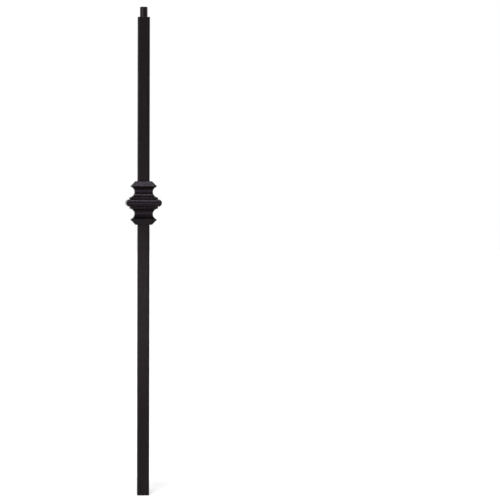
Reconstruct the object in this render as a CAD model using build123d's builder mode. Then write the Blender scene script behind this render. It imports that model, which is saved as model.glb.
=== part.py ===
from build123d import *
from math import sqrt
import os

# Iron newel post: a square bar with a round dowel pin welded into its top end, and a cast
# knuckle with mitred mouldings part of the way up. Sizes are in millimetres. Z runs up the
# post, and the origin is the middle of the foot.

# Bar
post_height = 1219.2  # 48 in, with the dowel pin
bar_width = 30.16  # 1-3/16 in, across the flats
bar_corner_radius = 3.8
bar_end_break = 0.6

# Dowel pin, which goes up into the handrail, and its tail down in the bar
pin_diameter = 19.05  # 3/4 in
pin_length = 25.4  # 1 in
pin_chamfer = 1.2
tail_length = 25.0
tail_clearance = 0.1
tail_end_gap = 1.0

# Weld round the pin's root: it fills a 90 degree countersink and flares out above it
weld_width = 1.6
weld_height = 1.8
weld_hollow = 0.3

# Square hole through the knuckle, sharper at its corners than the bar
bore_clearance = 0.15
bore_corner_radius = 1.2
bore_mouth_chamfer = 0.6

# Thickness of the knuckle from the hole out to each moulding
throat_wall = 7.4
band_wall = 19.7
cap_wall = 16.5
cap_top_wall = 5.3

# Heights and radii of the mouldings, from the middle roll outwards
knuckle_middle_height = 730.0
roll_height = 18.9
band_height = 4.8
band_edge_radius = 1.2
cove_radius = 13.3
cap_nose_height = 2.3
cap_nose_radius = 1.0
cap_bevel_height = 12.1
cap_top_radius = 1.5

# Places along the bar
shoulder_height = post_height - pin_length
bore_width = bar_width + 2 * bore_clearance

# Radii of the pin's end of the bar
pin_radius = pin_diameter / 2
socket_radius = pin_radius + tail_clearance
weld_toe_radius = pin_radius + weld_width

# Distances of the mouldings from the post's axis
throat_out = bore_width / 2 + throat_wall
band_out = bore_width / 2 + band_wall
cap_out = bore_width / 2 + cap_wall
cap_top_out = bore_width / 2 + cap_top_wall
roll_radius = roll_height / 2
roll_out = band_out + roll_radius

# Heights of the mouldings over the knuckle's middle; both ends of the cove lie on its circle
band_top = roll_radius + band_height
cove_centre_out = throat_out + cove_radius
cove_centre_up = band_top + sqrt(cove_radius**2 - (cove_centre_out - band_out) ** 2)
cove_top = cove_centre_up + sqrt(cove_radius**2 - (cove_centre_out - cap_out) ** 2)
bevel_foot = cove_top + cap_nose_height
cap_top = bevel_foot + cap_bevel_height

os.makedirs("parts", exist_ok=True)


# Square bar, cut off square at both ends, with a drilled and countersunk hole in its top end
with BuildPart() as newel_bar:
    with BuildSketch(Plane.XY):
        RectangleRounded(bar_width, bar_width, bar_corner_radius)
    extrude(amount=shoulder_height)
    end_edges = newel_bar.edges().group_by(Axis.Z)
    chamfer(end_edges[0] + end_edges[-1], bar_end_break)
    with Locations((0, 0, shoulder_height)):
        CounterSinkHole(
            socket_radius, weld_toe_radius, tail_length + tail_end_gap, counter_sink_angle=90
        )

# Dowel pin with its weld, a turned form: the tail, the weld's cone and flare, and the pin
with BuildPart() as dowel_pin:
    with BuildSketch(Plane.XZ) as pin_outline:
        with BuildLine():
            tail = Polyline(
                (0, shoulder_height - tail_length),
                (pin_radius, shoulder_height - tail_length),
                (pin_radius, shoulder_height - weld_width),
                (weld_toe_radius, shoulder_height),
            )
            weld = SagittaArc(tail @ 1, (pin_radius, shoulder_height + weld_height), weld_hollow)
            side = Line(weld @ 1, (pin_radius, post_height))
            Polyline(side @ 1, (0, post_height), tail @ 0)
        make_face()
        chamfer(pin_outline.vertices().sort_by_distance(side @ 1)[0], pin_chamfer)
    revolve(axis=Axis.Z)


# Knuckle: one moulded outline is run through along X and along Y and kept where both meet,
# which leaves a crisp mitre at each of the four corners
with BuildPart() as knuckle:
    middle = (0, 0, knuckle_middle_height)
    seen_from_front = Plane(middle, x_dir=(1, 0, 0), z_dir=(0, -1, 0))
    seen_from_side = Plane(middle, x_dir=(0, 1, 0), z_dir=(1, 0, 0))
    for view, run_mode in ((seen_from_front, Mode.ADD), (seen_from_side, Mode.INTERSECT)):
        with BuildSketch(view) as outline:
            with BuildLine():
                middle_line = Line((0, 0), (roll_out, 0))
                roll = CenterArc((band_out, 0), roll_radius, 0, 90)
                band = Line(roll @ 1, (band_out, band_top))
                cove = ThreePointArc(
                    band @ 1, (throat_out, cove_centre_up), (cap_out, cove_top)
                )
                nose = Line(cove @ 1, (cap_out, bevel_foot))
                bevel = Line(nose @ 1, (cap_top_out, cap_top))
                Polyline(bevel @ 1, (0, cap_top), middle_line @ 0)
            make_face()
            for corner, radius in (
                (band @ 1, band_edge_radius),
                (nose @ 0, cap_nose_radius),
                (nose @ 1, cap_nose_radius),
                (bevel @ 1, cap_top_radius),
            ):
                fillet(outline.vertices().sort_by_distance(corner)[0], radius)
            mirror(about=Plane.XZ)
            mirror(about=Plane.YZ)
        extrude(amount=roll_out, both=True, mode=run_mode)
    with BuildSketch(Plane.XY.offset(knuckle_middle_height - cap_top)):
        RectangleRounded(bore_width, bore_width, bore_corner_radius)
    extrude(amount=2 * cap_top, mode=Mode.SUBTRACT)
    end_faces = knuckle.faces().filter_by(Axis.Z).sort_by(Axis.Z)
    for end_face in (end_faces[0], end_faces[-1]):
        chamfer(end_face.inner_wires()[0].edges(), bore_mouth_chamfer)


newel_bar.part.label = "newel_bar"
export_step(newel_bar.part, "parts/newel_bar.step")

dowel_pin.part.label = "dowel_pin"
export_step(dowel_pin.part, "parts/dowel_pin.step")

knuckle.part.label = "knuckle"
export_step(knuckle.part, "parts/knuckle.step")
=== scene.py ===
import bpy
from math import atan2, ceil, cos, pi, radians, sin, sqrt, tan
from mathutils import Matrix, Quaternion, Vector


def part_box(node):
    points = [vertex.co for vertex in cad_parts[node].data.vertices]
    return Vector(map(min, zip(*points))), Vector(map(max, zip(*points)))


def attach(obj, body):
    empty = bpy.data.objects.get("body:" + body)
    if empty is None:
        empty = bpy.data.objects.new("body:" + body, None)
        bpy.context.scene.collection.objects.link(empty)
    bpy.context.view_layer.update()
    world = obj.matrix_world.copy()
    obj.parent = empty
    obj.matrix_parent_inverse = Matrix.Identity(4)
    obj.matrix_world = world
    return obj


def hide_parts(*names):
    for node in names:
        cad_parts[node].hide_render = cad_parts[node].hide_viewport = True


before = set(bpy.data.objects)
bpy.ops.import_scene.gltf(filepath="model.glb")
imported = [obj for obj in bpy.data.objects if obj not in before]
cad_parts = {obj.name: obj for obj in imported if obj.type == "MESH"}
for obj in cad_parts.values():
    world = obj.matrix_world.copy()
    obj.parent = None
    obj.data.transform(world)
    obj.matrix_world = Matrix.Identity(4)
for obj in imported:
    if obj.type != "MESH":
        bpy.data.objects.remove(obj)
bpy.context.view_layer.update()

# An iron newel post in satin black paint: a square bar, a cast knuckle with mitred mouldings
# and a round dowel pin on top. Lengths are in metres.

mm = 0.001
bar_low, bar_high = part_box("newel_bar")
pin_low, pin_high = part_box("dowel_pin")
knuckle_low, knuckle_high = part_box("knuckle")

# Bar
bar_half = bar_high.x
bar_corner_radius = 3.8 * mm
bar_end_break = 0.6 * mm
shoulder_height = bar_high.z

# Dowel pin, its hole in the bar, and the weld round its root
pin_radius = 9.525 * mm
pin_chamfer = 1.2 * mm
post_height = pin_high.z
tail_clearance = 0.1 * mm
tail_end_gap = 1.0 * mm
socket_radius = pin_radius + tail_clearance
socket_floor = pin_low.z - tail_end_gap
weld_toe_radius = pin_high.x
weld_depth = weld_toe_radius - pin_radius
weld_height = 1.8 * mm
weld_hollow = 0.3 * mm

# Knuckle: its square hole, and its thickness from the hole out to each moulding
bore_clearance = 0.15 * mm
bore_corner_radius = 1.2 * mm
bore_mouth_chamfer = 0.6 * mm
throat_wall = 7.4 * mm
band_wall = 19.7 * mm
cap_wall = 16.5 * mm
cap_top_wall = 5.3 * mm

# Distances of the knuckle's faces from the post's axis
bore_half = bar_half + bore_clearance
throat_out = bore_half + throat_wall
band_out = bore_half + band_wall
cap_out = bore_half + cap_wall
cap_top_out = bore_half + cap_top_wall
roll_out = knuckle_high.x

# Heights and radii of the mouldings, from the middle roll outwards
roll_radius = roll_out - band_out
band_height = 4.8 * mm
band_edge_radius = 1.2 * mm
cove_radius = 13.3 * mm
cap_nose_height = 2.3 * mm
cap_nose_radius = 1.0 * mm
cap_top_radius = 1.5 * mm
mitre_rounding = 1.0 * mm
roll_mitre_rounding = 2.0 * mm
knuckle_middle = (knuckle_low.z + knuckle_high.z) / 2
cap_top = knuckle_high.z - knuckle_middle


# Outlines. A point is (out, up, rounding): its distance from the post's axis, its height, and
# the radius of the post's four corners there. Where rounding equals out, the post is round.

def run(start, end, spacing):
    """Points along a straight stretch, without its last one."""
    start, end = Vector(start), Vector(end)
    steps = max(1, ceil((end - start).length / spacing))
    return [start.lerp(end, i / steps) for i in range(steps)]


def turn(centre, start, end, spacing):
    """Points along an arc about a centre, the shorter way, without its last one."""
    centre, start, end = Vector(centre), Vector(start), Vector(end)
    radius = (start - centre).length
    first = atan2(start.y - centre.y, start.x - centre.x)
    last = atan2(end.y - centre.y, end.x - centre.x)
    sweep = (last - first + pi) % (2 * pi) - pi
    steps = max(4, ceil(radius * abs(sweep) / spacing))
    angles = [first + sweep * i / steps for i in range(steps)]
    return [centre + radius * Vector((cos(angle), sin(angle))) for angle in angles]


def round_off(before, corner, after, radius):
    """Start, end and centre of the rounding of a corner between two straight stretches."""
    corner = Vector(corner)
    back = (Vector(before) - corner).normalized()
    ahead = (Vector(after) - corner).normalized()
    half_angle = back.angle(ahead) / 2
    reach = radius / tan(half_angle)
    centre = corner + (back + ahead).normalized() * radius / sin(half_angle)
    return corner + back * reach, corner + ahead * reach, centre


def into_cove(cove_centre, out, radius, side):
    """Centre and end of the rounding from a straight face at out into the cove beside it.

    The face is above the cove where side is 1, and below it where side is -1.
    """
    rise = sqrt((cove_radius + radius) ** 2 - (cove_centre.x - out + radius) ** 2)
    centre = Vector((out - radius, cove_centre.y + side * rise))
    return centre, cove_centre + (centre - cove_centre).normalized() * cove_radius


def mitre_rounding_at(up):
    """Rounding of the knuckle's mitres, which is fullest at the middle of the roll."""
    fuller = roll_mitre_rounding - mitre_rounding
    return mitre_rounding + fuller * max(0, 1 - up / roll_radius)


def knuckle_outline():
    """The mouldings from the middle up, down the hole, and the same again below, as a loop."""
    coarse, fine = 0.8 * mm, 0.3 * mm
    band_top = roll_radius + band_height
    cove_centre = Vector((throat_out + cove_radius, 0))
    cove_centre.y = band_top + sqrt(cove_radius**2 - (cove_centre.x - band_out) ** 2)
    cove_top = cove_centre.y + sqrt(cove_radius**2 - (cove_centre.x - cap_out) ** 2)
    throat = (throat_out, cove_centre.y)
    edge_centre, cove_start = into_cove(cove_centre, band_out, band_edge_radius, -1)
    nose_centre, cove_end = into_cove(cove_centre, cap_out, cap_nose_radius, 1)

    nose_top = (cap_out, cove_top + cap_nose_height)
    bevel_top = (cap_top_out, cap_top)
    lip = (bore_half + bore_mouth_chamfer, cap_top)
    nose_foot = (cap_out, nose_centre.y)
    nose_start, nose_end, nose_middle = round_off(nose_foot, nose_top, bevel_top, cap_nose_radius)
    top_start, top_end, top_middle = round_off(nose_top, bevel_top, lip, cap_top_radius)

    mouldings = [
        *turn((band_out, 0), (roll_out, 0), (band_out, roll_radius), coarse),
        *run((band_out, roll_radius), (band_out, edge_centre.y), coarse),
        *turn(edge_centre, (band_out, edge_centre.y), cove_start, fine),
        *turn(cove_centre, cove_start, throat, coarse),
        *turn(cove_centre, throat, cove_end, coarse),
        *turn(nose_centre, cove_end, nose_foot, fine),
        *run(nose_foot, nose_start, coarse),
        *turn(nose_middle, nose_start, nose_end, fine),
        *run(nose_end, top_start, coarse),
        *turn(top_middle, top_start, top_end, fine),
        *run(top_end, lip, coarse),
    ]
    hole_top = cap_top - bore_mouth_chamfer
    above = [
        *((out, up, mitre_rounding_at(up)) for out, up in mouldings),
        (*lip, bore_corner_radius + bore_mouth_chamfer),
        (bore_half, hole_top, bore_corner_radius),
        (bore_half, hole_top / 2, bore_corner_radius),
    ]
    below = [(out, -up, rounding) for out, up, rounding in reversed(above[1:])]
    loop = [*above, (bore_half, 0, bore_corner_radius), *below]
    return [(out, knuckle_middle + up, rounding) for out, up, rounding in loop]


def bar_outline():
    """From the axis out along the foot, up the side, in along the shoulder and down the hole."""
    coarse = 4 * mm
    narrow = bar_half - bar_end_break
    end_rounding = bar_corner_radius - bar_end_break
    foot_edge = (bar_half, bar_low.z + bar_end_break)
    shoulder_edge = (bar_half, shoulder_height - bar_end_break)
    foot = run((0, bar_low.z), (narrow, bar_low.z), coarse)
    side = run(foot_edge, shoulder_edge, coarse)
    countersink_foot = (socket_radius, shoulder_height - weld_toe_radius + socket_radius)
    hole_corner = (socket_radius, socket_floor)
    hole = [
        (weld_toe_radius, shoulder_height),
        *run(countersink_foot, hole_corner, coarse),
        *run(hole_corner, (0, socket_floor), coarse),
        (0, socket_floor),
    ]
    return [
        *((out, up, end_rounding * out / narrow) for out, up in foot),
        (narrow, bar_low.z, end_rounding),
        *((out, up, bar_corner_radius) for out, up in side),
        (*shoulder_edge, bar_corner_radius),
        (narrow, shoulder_height, end_rounding),
        *((out, up, out) for out, up in hole),
    ]


def pin_outline():
    """The tail, the weld's cone and hollow flare, and the chamfered pin, all round."""
    coarse, fine = 1.0 * mm, 0.3 * mm
    tail_corner = (pin_radius, pin_low.z)
    weld_root = (pin_radius, shoulder_height - weld_depth)
    toe = Vector((weld_toe_radius, shoulder_height))
    weld_top = Vector((pin_radius, shoulder_height + weld_height))
    chord = weld_top - toe
    weld_face_radius = (chord.length_squared / 4 + weld_hollow**2) / (2 * weld_hollow)
    away = Vector((chord.y, -chord.x)).normalized()
    weld_centre = (toe + weld_top) / 2 + away * (weld_face_radius - weld_hollow)
    chamfer_foot = (pin_radius, post_height - pin_chamfer)
    chamfer_top = (pin_radius - pin_chamfer, post_height)
    points = [
        *run((0, pin_low.z), tail_corner, 4 * coarse),
        *run(tail_corner, weld_root, 4 * coarse),
        *run(weld_root, toe, coarse),
        *turn(weld_centre, toe, weld_top, fine),
        *run(weld_top, chamfer_foot, coarse),
        *run(chamfer_foot, chamfer_top, fine),
        *run(chamfer_top, (0, post_height), 2 * coarse),
        Vector((0, post_height)),
    ]
    return [(out, up, out) for out, up in points]


def add(tree, kind, inputs=None, **settings):
    """A node with its settings, and its inputs as values or as other nodes' outputs."""
    node = tree.nodes.new(kind)
    for name, value in settings.items():
        setattr(node, name, value)
    for key, value in (inputs or {}).items():
        if isinstance(value, bpy.types.NodeSocket):
            tree.links.new(value, node.inputs[key])
        else:
            node.inputs[key].default_value = value
    return node


def maths(tree, operation, *values):
    return add(tree, "ShaderNodeMath", dict(enumerate(values)), operation=operation).outputs[0]


def vector_maths(tree, operation, *values):
    node = add(tree, "ShaderNodeVectorMath", dict(enumerate(values)), operation=operation)
    return node.outputs[0]


def scaled(tree, vector, factor):
    node = add(
        tree, "ShaderNodeVectorMath", {"Vector": vector, "Scale": factor}, operation="SCALE"
    )
    return node.outputs[0]


def new_tree(name, inputs):
    """An empty geometry tree, with its named inputs."""
    tree = bpy.data.node_groups.new(name, "GeometryNodeTree")
    for label, kind in inputs.items():
        tree.interface.new_socket(label, in_out="INPUT", socket_type="NodeSocket" + kind)
    tree.interface.new_socket("Piece", in_out="OUTPUT", socket_type="NodeSocketGeometry")
    return tree, tree.nodes.new("NodeGroupInput").outputs


def end_painted(tree, geometry, paint):
    """The end of a tree: plain geometry in one paint."""
    real = add(tree, "GeometryNodeRealizeInstances", {"Geometry": geometry}).outputs[0]
    painted = add(tree, "GeometryNodeSetMaterial", {"Geometry": real, "Material": paint})
    add(tree, "NodeGroupOutput", {"Piece": painted.outputs[0]})
    return tree


def moulding_tree():
    """Carries an outline round a square path, with each corner rounded by the outline's own amount.

    The path is a square of half width 2 with corners of radius 1. A point on it is the sum of
    its corner, held between -1 and 1, and its lean, the rest. A point of the outline then lands
    at (out - rounding) * corner + rounding * lean.
    """
    tree, given = new_tree(
        "mitred_moulding",
        {
            "Outline": "Geometry",
            "Corner Steps": "Int",
            "Face Steps": "Int",
            "Unevenness": "Float",
            "Unevenness Size": "Float",
            "Weld Up": "Float",
            "Weld Reach": "Float",
            "Weld Unevenness": "Float",
            "Seed": "Float",
            "Paint": "Material",
        },
    )

    def with_place(geometry):
        node = add(tree, "GeometryNodeCaptureAttribute", {"Geometry": geometry}, domain="POINT")
        node.capture_items.new("VECTOR", "Place")
        place = add(tree, "GeometryNodeInputPosition").outputs[0]
        tree.links.new(place, node.inputs["Place"])
        return node.outputs["Geometry"], node.outputs["Place"]

    # Square path: the first segment after each rounded corner is a face, which is divided
    square = add(
        tree, "GeometryNodeCurvePrimitiveQuadrilateral", {"Width": 4.0, "Height": 4.0}
    ).outputs[0]
    rounded = add(
        tree,
        "GeometryNodeFilletCurve",
        {"Curve": square, "Count": given["Corner Steps"], "Radius": 1.0},
        mode="POLY",
    ).outputs[0]
    index = add(tree, "GeometryNodeInputIndex").outputs[0]
    points_per_corner = maths(tree, "ADD", given["Corner Steps"], 1.0)
    place_in_corner = maths(tree, "MODULO", index, points_per_corner)
    starts_a_face = maths(tree, "COMPARE", place_in_corner, given["Corner Steps"], 0.5)
    extra_points = maths(tree, "SUBTRACT", given["Face Steps"], 1.0)
    cuts = maths(tree, "MULTIPLY", starts_a_face, extra_points)
    divided = add(
        tree, "GeometryNodeSubdivideCurve", {"Curve": rounded, "Cuts": cuts}
    ).outputs[0]
    path, path_place = with_place(divided)
    raised = vector_maths(tree, "MAXIMUM", path_place, (-1.0, -1.0, 0.0))
    corner = vector_maths(tree, "MINIMUM", raised, (1.0, 1.0, 0.0))
    lean = vector_maths(tree, "SUBTRACT", path_place, corner)

    profile = add(tree, "GeometryNodeMeshToCurve", {"Mesh": given["Outline"]}).outputs[0]
    profile, profile_place = with_place(profile)
    swept = add(
        tree, "GeometryNodeCurveToMesh", {"Curve": path, "Profile Curve": profile}
    ).outputs[0]

    parts = add(tree, "ShaderNodeSeparateXYZ", {0: profile_place}).outputs
    out, up, rounding = parts[0], parts[1], parts[2]
    at_corner = scaled(tree, corner, maths(tree, "SUBTRACT", out, rounding))
    level = vector_maths(tree, "ADD", at_corner, scaled(tree, lean, rounding))
    height = add(tree, "ShaderNodeCombineXYZ", {"Z": up}).outputs[0]
    placed = add(
        tree,
        "GeometryNodeSetPosition",
        {"Geometry": swept, "Position": vector_maths(tree, "ADD", level, height)},
    ).outputs[0]
    closed = add(
        tree, "GeometryNodeMergeByDistance", {"Geometry": placed, "Distance": same_place}
    ).outputs[0]
    facing_out = add(tree, "GeometryNodeFlipFaces", {"Mesh": closed}).outputs[0]

    # Unevenness of the surface, always inwards, and more of it on a weld's face
    here = add(tree, "GeometryNodeInputPosition").outputs[0]
    seed_shift = add(tree, "ShaderNodeCombineXYZ", {"X": given["Seed"]}).outputs[0]
    lumps = add(
        tree,
        "ShaderNodeTexNoise",
        {
            "Vector": vector_maths(tree, "ADD", here, seed_shift),
            "Scale": maths(tree, "DIVIDE", 1.0, given["Unevenness Size"]),
            "Detail": 3.0,
            "Roughness": 0.45,
        },
    ).outputs[0]
    outwards = add(tree, "GeometryNodeInputNormal").outputs[0]
    up_here = add(tree, "ShaderNodeSeparateXYZ", {0: here}).outputs[2]
    on_weld = maths(tree, "COMPARE", up_here, given["Weld Up"], given["Weld Reach"])
    unevenness = maths(
        tree, "MULTIPLY_ADD", on_weld, given["Weld Unevenness"], given["Unevenness"]
    )
    rise = maths(tree, "MULTIPLY", maths(tree, "MULTIPLY", lumps, unevenness), -1.0)
    uneven = add(
        tree,
        "GeometryNodeSetPosition",
        {"Geometry": facing_out, "Offset": scaled(tree, outwards, rise)},
    ).outputs[0]
    smooth = add(tree, "GeometryNodeSetShadeSmooth", {"Geometry": uneven}).outputs[0]
    return end_painted(tree, smooth, given["Paint"])


def beads_tree():
    """Strews small flat beads of metal, as pinholes in a sand mould leave, over a casting.

    They lie where the distance from the post's axis and the height are within their reach of a
    middle value, and are sunk to their middle.
    """
    tree, given = new_tree(
        "casting_beads",
        {
            "Casting": "Geometry",
            "Beads per Area": "Float",
            "Smallest Radius": "Float",
            "Largest Radius": "Float",
            "Middle Out": "Float",
            "Reach Out": "Float",
            "Middle Up": "Float",
            "Reach Up": "Float",
            "Seed": "Int",
            "Paint": "Material",
        },
    )
    place = add(tree, "GeometryNodeInputPosition").outputs[0]
    parts = add(tree, "ShaderNodeSeparateXYZ", {0: vector_maths(tree, "ABSOLUTE", place)}).outputs
    out = maths(tree, "MAXIMUM", parts[0], parts[1])
    out_in_reach = maths(tree, "COMPARE", out, given["Middle Out"], given["Reach Out"])
    up_in_reach = maths(tree, "COMPARE", parts[2], given["Middle Up"], given["Reach Up"])
    strewn = add(
        tree,
        "GeometryNodeDistributePointsOnFaces",
        {
            "Mesh": given["Casting"],
            "Selection": maths(tree, "MULTIPLY", out_in_reach, up_in_reach),
            "Density": given["Beads per Area"],
            "Seed": given["Seed"],
        },
    ).outputs
    radius = add(
        tree,
        "FunctionNodeRandomValue",
        {2: given["Smallest Radius"], 3: given["Largest Radius"], "Seed": given["Seed"]},
        data_type="FLOAT",
    ).outputs[1]
    bead = add(tree, "GeometryNodeMeshIcoSphere", {"Radius": 1.0, "Subdivisions": 2}).outputs[0]
    smooth_bead = add(tree, "GeometryNodeSetShadeSmooth", {"Geometry": bead}).outputs[0]
    flattened = (1.0, 1.0, 0.7)
    beads = add(
        tree,
        "GeometryNodeInstanceOnPoints",
        {
            "Points": strewn["Points"],
            "Instance": smooth_bead,
            "Rotation": strewn["Rotation"],
            "Scale": scaled(tree, flattened, radius),
        },
    ).outputs[0]
    joined = add(tree, "GeometryNodeJoinGeometry", {"Geometry": given["Casting"]})
    tree.links.new(beads, joined.inputs["Geometry"])
    return end_painted(tree, joined.outputs[0], given["Paint"])


def run_tree(piece, tree, sizes):
    """Runs a tree on a piece with its sizes, and leaves the piece as a plain mesh."""
    modifier = piece.modifiers.new(tree.name, "NODES")
    modifier.node_group = tree
    for socket in tree.interface.items_tree:
        if socket.name in sizes:
            modifier[socket.identifier] = sizes[socket.name]
    depsgraph = bpy.context.evaluated_depsgraph_get()
    mesh = bpy.data.meshes.new_from_object(piece.evaluated_get(depsgraph))
    piece.modifiers.clear()
    piece.data = mesh
    mesh.name = piece.name
    while mesh.materials[-1] is None:  # a bead brings an empty slot of its own
        mesh.materials.pop()


def moulded(name, outline, is_loop, sizes):
    """A piece made by the moulding tree, with its crisp edges kept crisp."""
    last = len(outline) - 1
    edges = [(i, i + 1) for i in range(last)]
    if is_loop:
        edges.append((last, 0))
    line = bpy.data.meshes.new(name + "_outline")
    line.from_pydata(outline, edges, [])
    piece = bpy.data.objects.new(name, line)
    bpy.context.scene.collection.objects.link(piece)
    run_tree(piece, moulding, sizes)
    piece.data.set_sharp_from_angle(angle=crisp_edge_angle)
    return piece


def noise(tree, place, size, detail=3.0):
    """Noise between 0 and 1, whose lumps have a size along X, Y and Z."""
    fitted = vector_maths(tree, "MULTIPLY", place, tuple(1 / length for length in size))
    return add(
        tree, "ShaderNodeTexNoise", {"Vector": fitted, "Scale": 1.0, "Detail": detail}
    ).outputs[0]


def between(tree, value, from_range, to_range):
    """A value carried from one range to another, with soft ends."""
    inputs = {"Value": value}
    inputs["From Min"], inputs["From Max"] = from_range
    inputs["To Min"], inputs["To Max"] = to_range
    return add(tree, "ShaderNodeMapRange", inputs, interpolation_type="SMOOTHSTEP").outputs[0]


def rolled_skin(tree, place):
    """Height of the shallow dents and faint streaks that hot rolling leaves along a bar."""
    dent_size, dent_depth = (4 * mm, 4 * mm, 9 * mm), 0.18 * mm
    streak_size, streak_depth = (2 * mm, 2 * mm, 70 * mm), 0.02 * mm
    dents = maths(tree, "MULTIPLY", noise(tree, place, dent_size), dent_depth)
    streaks = maths(tree, "MULTIPLY", noise(tree, place, streak_size), streak_depth)
    return maths(tree, "ADD", dents, streaks)


def turning_rings(tree, place):
    """Height of the fine rings that a lathe tool leaves round a pin."""
    ring_size, ring_depth = (90 * mm, 90 * mm, 0.6 * mm), 0.012 * mm
    return maths(tree, "MULTIPLY", noise(tree, place, ring_size), ring_depth)


def sand_pits(tree, place):
    """Height of the few small pits that loose sand leaves in a casting.

    The casting is divided into cells, some of which have a pit in their middle. The radii of
    its floor and rim are shares of a cell's size.
    """
    cell_size, pit_depth, share_with_pit = 8 * mm, 0.2 * mm, 0.3
    floor_and_rim = (0.03, 0.07)
    cells = add(tree, "ShaderNodeTexVoronoi", {"Vector": place, "Scale": 1 / cell_size}).outputs
    chance = add(tree, "ShaderNodeSeparateXYZ", {0: cells["Color"]}).outputs[0]
    pit = between(tree, cells["Distance"], floor_and_rim, (-pit_depth, 0.0))
    return maths(tree, "MULTIPLY", pit, maths(tree, "LESS_THAN", chance, share_with_pit))


def satin_black(
    name, shine, shine_level, roughness, mottle_size, patch_size, grain_size, grain_depth, marks
):
    """Satin black paint over a grain and the metal's own marks.

    Its colour is mottled, and small patches of it are glossier or duller.
    """
    material = bpy.data.materials.new(name)
    material.use_nodes = True
    tree = material.node_tree
    shader = tree.nodes["Principled BSDF"]
    shader.inputs["Specular IOR Level"].default_value = shine_level
    shader.inputs["Specular Tint"].default_value = shine
    place = add(tree, "ShaderNodeTexCoord").outputs["Object"]
    mottle = noise(tree, place, mottle_size, detail=4.0)
    colour = add(
        tree,
        "ShaderNodeMix",
        {"Factor": mottle, "A": purplish_black, "B": brownish_black},
        data_type="RGBA",
    )
    tree.links.new(colour.outputs["Result"], shader.inputs["Base Color"])
    patches = noise(tree, place, patch_size)
    glossiest, dullest = roughness - gloss_spread, roughness + gloss_spread
    gloss = between(tree, patches, patch_edges, (glossiest, dullest))
    tree.links.new(gloss, shader.inputs["Roughness"])
    grain = noise(tree, place, (grain_size, grain_size, grain_size))
    height = maths(tree, "MULTIPLY_ADD", grain, grain_depth, marks(tree, place))
    bump = add(tree, "ShaderNodeBump", {"Height": height, "Distance": 1.0, "Strength": 1.0})
    tree.links.new(bump.outputs[0], shader.inputs["Normal"])
    return material


def put_on_post(piece, node):
    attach(piece, "root")
    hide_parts(node)


# Paint: its two tones, how far its roughness goes either way, and the values of noise between
# which a patch goes from its glossiest to its dullest
purplish_black = (0.0034, 0.0026, 0.0034, 1)
brownish_black = (0.0076, 0.0058, 0.0050, 1)
gloss_spread = 0.1
patch_edges = (0.3, 0.7)

bar_paint = satin_black(
    "painted_bar",
    shine=(0.98, 0.83, 0.95, 1),
    shine_level=0.09,
    roughness=0.38,
    mottle_size=(22 * mm, 22 * mm, 150 * mm),
    patch_size=(5 * mm, 5 * mm, 12 * mm),
    grain_size=1.6 * mm,
    grain_depth=0.02 * mm,
    marks=rolled_skin,
)
pin_paint = satin_black(
    "painted_pin",
    shine=(0.98, 0.83, 0.95, 1),
    shine_level=0.10,
    roughness=0.32,
    mottle_size=(10 * mm, 10 * mm, 14 * mm),
    patch_size=(4 * mm, 4 * mm, 5 * mm),
    grain_size=0.8 * mm,
    grain_depth=0.01 * mm,
    marks=turning_rings,
)
knuckle_paint = satin_black(
    "painted_casting",
    shine=(0.84, 0.70, 1.0, 1),
    shine_level=0.09,
    roughness=0.25,
    mottle_size=(14 * mm, 14 * mm, 14 * mm),
    patch_size=(6 * mm, 6 * mm, 6 * mm),
    grain_size=1.1 * mm,
    grain_depth=0.04 * mm,
    marks=sand_pits,
)

# Pieces: points closer than same_place become one, and a steeper fold than crisp_edge_angle
# isn't shaded smooth
same_place = 0.001 * mm
crisp_edge_angle = radians(35)
moulding = moulding_tree()
square_bar = moulded(
    "square_bar",
    bar_outline(),
    False,
    {
        "Corner Steps": 8,
        "Face Steps": 6,
        "Unevenness": 0.12 * mm,
        "Unevenness Size": 45 * mm,
        "Seed": 3.0,
        "Paint": bar_paint,
    },
)
weld_face_middle = shoulder_height + weld_height * 0.6
weld_face_reach = weld_height * 0.45
round_pin = moulded(
    "round_pin",
    pin_outline(),
    False,
    {
        "Corner Steps": 32,
        "Face Steps": 1,
        "Unevenness": 0.02 * mm,
        "Unevenness Size": 2.2 * mm,
        "Weld Up": weld_face_middle,
        "Weld Reach": weld_face_reach,
        "Weld Unevenness": 0.3 * mm,
        "Seed": 5.0,
        "Paint": pin_paint,
    },
)
cast_knuckle = moulded(
    "cast_knuckle",
    knuckle_outline(),
    True,
    {
        "Corner Steps": 5,
        "Face Steps": 64,
        "Unevenness": 0.20 * mm,
        "Unevenness Size": 9 * mm,
        "Seed": 7.0,
        "Paint": knuckle_paint,
    },
)
bead_free_edge = 1.0 * mm
run_tree(
    cast_knuckle,
    beads_tree(),
    {
        "Beads per Area": 1500.0,
        "Smallest Radius": 0.25 * mm,
        "Largest Radius": 0.55 * mm,
        "Middle Out": (bore_half + roll_out) / 2,
        "Reach Out": (roll_out - bore_half) / 2 - bead_free_edge,
        "Middle Up": knuckle_middle,
        "Reach Up": cap_top - bead_free_edge,
        "Seed": 11,
        "Paint": knuckle_paint,
    },
)
put_on_post(square_bar, "newel_bar")
put_on_post(round_pin, "dowel_pin")
put_on_post(cast_knuckle, "knuckle")


def direction(azimuth, elevation=0):
    """Level or raised direction away from the post, in degrees: 0 is its front and 90 its right."""
    a, e = radians(azimuth), radians(elevation)
    return Vector((sin(a) * cos(e), -cos(a) * cos(e), sin(e)))


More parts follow.
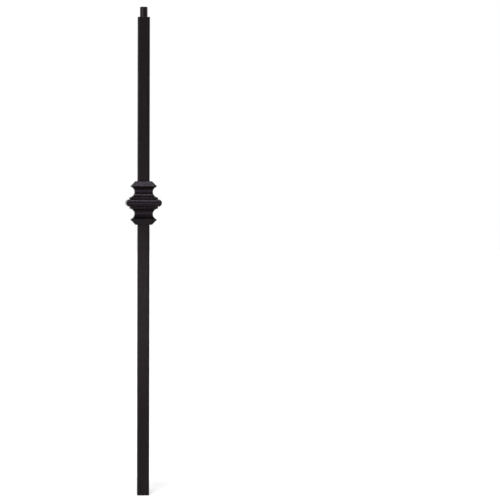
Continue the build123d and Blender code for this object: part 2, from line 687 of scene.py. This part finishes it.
# Camera: the post stands left of the middle of a square picture, and is seen slightly from its
# left, level with the knuckle, with its top a little to the right. Places in it are in pixels.
picture_size = 500
picture_middle = picture_size / 2
post_column, post_top_row, post_foot_row = 143.35, 7.4, 495.4
camera_distance = 8.0
camera_azimuth = -2.5
camera_roll = radians(0.13)
pixels_per_metre = (post_foot_row - post_top_row) / post_height
camera_data = bpy.data.cameras.new("camera")
camera = bpy.data.objects.new("camera", camera_data)
bpy.context.scene.collection.objects.link(camera)
bpy.context.scene.camera = camera
camera_data.lens = camera_data.sensor_width * camera_distance * pixels_per_metre / picture_size
camera.location = direction(camera_azimuth) * camera_distance + Vector((0, 0, knuckle_middle))
aim_right = (picture_middle - post_column) / pixels_per_metre
aim_height = (post_foot_row - picture_middle) / pixels_per_metre
aim = direction(camera_azimuth + 90) * aim_right + Vector((0, 0, aim_height))
camera.rotation_mode = "QUATERNION"
level_turn = (aim - camera.location).to_track_quat("-Z", "Y")
camera.rotation_quaternion = level_turn @ Quaternion((0, 0, 1), camera_roll)


def hung(name, data, source):
    """A lamp's object, turned so that its light comes from the source's direction."""
    light = bpy.data.objects.new(name, data)
    bpy.context.scene.collection.objects.link(light)
    light.rotation_mode = "QUATERNION"
    light.rotation_quaternion = source.to_track_quat("Z", "Y")
    return light


def lamp(name, azimuth, elevation, strength, spread):
    """A soft distant light. A white surface that faces it renders at that strength."""
    data = bpy.data.lights.new(name, "SUN")
    data.energy = strength * pi
    data.angle = radians(spread)
    hung(name, data, direction(azimuth, elevation))


def soft_box(name, azimuth, height, distance, width, tall, strength):
    """An upright lamp near the post, level with a height on it, whose light falls off along it.

    A white surface that faces it from the post renders at about its strength.
    """
    data = bpy.data.lights.new(name, "AREA")
    data.shape = "RECTANGLE"
    data.size, data.size_y = width, tall
    data.energy = strength * pi**2 * distance**2
    source = direction(azimuth)
    box = hung(name, data, source)
    box.location = source * distance + Vector((0, 0, height))
    box.visible_camera = False


lamp("overhead", azimuth=-10, elevation=82, strength=0.15, spread=12)
lamp("high_front", azimuth=-10, elevation=66, strength=0.72, spread=10)
lamp("left_front", azimuth=-38, elevation=8, strength=0.55, spread=14)
lamp("right_side", azimuth=100, elevation=12, strength=0.25, spread=30)
lamp("back", azimuth=165, elevation=40, strength=0.3, spread=30)
lamp("left_side", azimuth=-115, elevation=12, strength=0.25, spread=30)
soft_box(
    "front_soft_box", azimuth=-3, height=0.45, distance=0.85, width=0.3, tall=0.3, strength=0.21
)


def lit_or_seen(tree, lit, seen):
    """One value for rays that light the object, and another for rays that show the background."""
    path = add(tree, "ShaderNodeLightPath").outputs
    shown = maths(tree, "MAXIMUM", path["Is Camera Ray"], path["Is Glossy Ray"])
    shown = maths(tree, "MAXIMUM", shown, path["Is Transmission Ray"])
    chosen = add(tree, "ShaderNodeMapRange", {"Value": shown, "To Min": lit, "To Max": seen})
    return chosen.outputs[0]


def white_room(light):
    """A white world that gives the object a little light from all sides."""
    world = bpy.data.worlds.new("white_room")
    bpy.context.scene.world = world
    world.use_nodes = True
    tree = world.node_tree
    background = tree.nodes["Background"]
    background.inputs["Color"].default_value = (1, 1, 1, 1)
    tree.links.new(lit_or_seen(tree, light, 1.0), background.inputs["Strength"])


def white_floor(half, grey, lift):
    """A pale floor that takes the post's shadow and, with its lift, is white where it is lit."""
    mesh = bpy.data.meshes.new("floor")
    corners = [(-half, -half, 0), (half, -half, 0), (half, half, 0), (-half, half, 0)]
    mesh.from_pydata(corners, [], [(0, 1, 2, 3)])
    floor = bpy.data.objects.new("floor", mesh)
    bpy.context.scene.collection.objects.link(floor)
    material = bpy.data.materials.new("pale_floor")
    material.use_nodes = True
    tree = material.node_tree
    shader = tree.nodes["Principled BSDF"]
    shader.inputs["Base Color"].default_value = (grey, grey, grey, 1)
    shader.inputs["Roughness"].default_value = 1.0
    shader.inputs["Specular IOR Level"].default_value = 0.0
    shader.inputs["Emission Color"].default_value = (1, 1, 1, 1)
    tree.links.new(lit_or_seen(tree, 0.0, lift), shader.inputs["Emission Strength"])
    mesh.materials.append(material)


white_room(light=0.12)
white_floor(half=40.0, grey=0.8, lift=0.18)
bpy.context.scene.view_settings.view_transform = "Standard"
